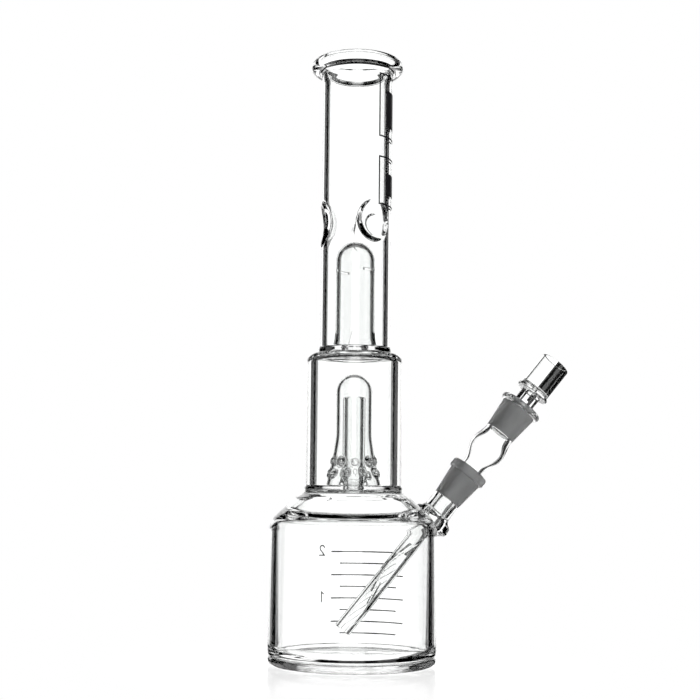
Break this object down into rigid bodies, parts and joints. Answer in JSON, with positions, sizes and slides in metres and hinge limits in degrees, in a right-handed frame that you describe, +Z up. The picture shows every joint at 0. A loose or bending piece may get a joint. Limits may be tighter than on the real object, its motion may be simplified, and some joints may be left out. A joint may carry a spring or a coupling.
{
  "type": "glass water pipe",
  "caption": "Clear glass water pipe: beaker base with a printed scale, domed percolator chamber, pinched neck with flared mouth, removable downstem and bowl in ground joints.",
  "frame": {"origin": "centre of the foot, on the surface it stands on", "axes": "+Z up along the neck's axis; +X towards the side where the downstem leans out; +Y to the back, where the scale is printed"},
  "size_m": [0.2226, 0.1242, 0.45],
  "materials": {
    "clear_glass": "fire-polished clear borosilicate",
    "foot_glass": "thick pressed clear borosilicate, slightly wavy",
    "stem_glass": "fire-polished clear borosilicate tube",
    "bowl_glass": "thick clear borosilicate, fire-polished",
    "ground_glass": "ground frosted glass",
    "ground_collar": "ground frosted collar with fire-polished edge",
    "clear_collar": "fire-polished collar over a ground bore",
    "scale_enamel": "fired dark enamel print",
    "neck_enamel": "fired dark enamel print"
  },
  "bodies": {
    "vessel": {"foot_disc": "foot_glass", "beaker_wall": "clear_glass", "beaker_shoulder": "clear_glass", "waist_ring": "clear_glass", "chamber_floor": "clear_glass", "riser_tube": "clear_glass", "percolator_dome": "clear_glass", "chamber_wall": "clear_glass", "chamber_top": "clear_glass", "splash_plate": "clear_glass", "splash_dome": "clear_glass", "neck_tube": "clear_glass", "mouth_lip": "clear_glass", "joint_stub": "clear_glass", "stub_weld": "clear_glass", "joint_socket": "ground_glass", "socket_collar": "ground_collar", "scale_lines": "scale_enamel", "scale_numerals": "scale_enamel", "neck_print": "neck_enamel"},
    "downstem": {"downstem_tube": "stem_glass", "downstem_cone": "ground_glass", "downstem_bulb": "stem_glass", "downstem_socket": "ground_glass", "downstem_collar": "clear_collar"},
    "bowl": {"bowl_cone": "ground_glass", "bowl_stem": "bowl_glass", "bowl_flange": "bowl_glass", "bowl_cup": "bowl_glass"}
  },
  "joints": [
    {"name": "downstem_pull", "type": "slide", "parent": "vessel", "child": "downstem", "axis": [0.6239, 0, 0.7815], "range_m": [0, 0.16]},
    {"name": "bowl_pull", "type": "slide", "parent": "downstem", "child": "bowl", "axis": [0.6239, 0, 0.7815], "range_m": [0, 0.04]}
  ]
}
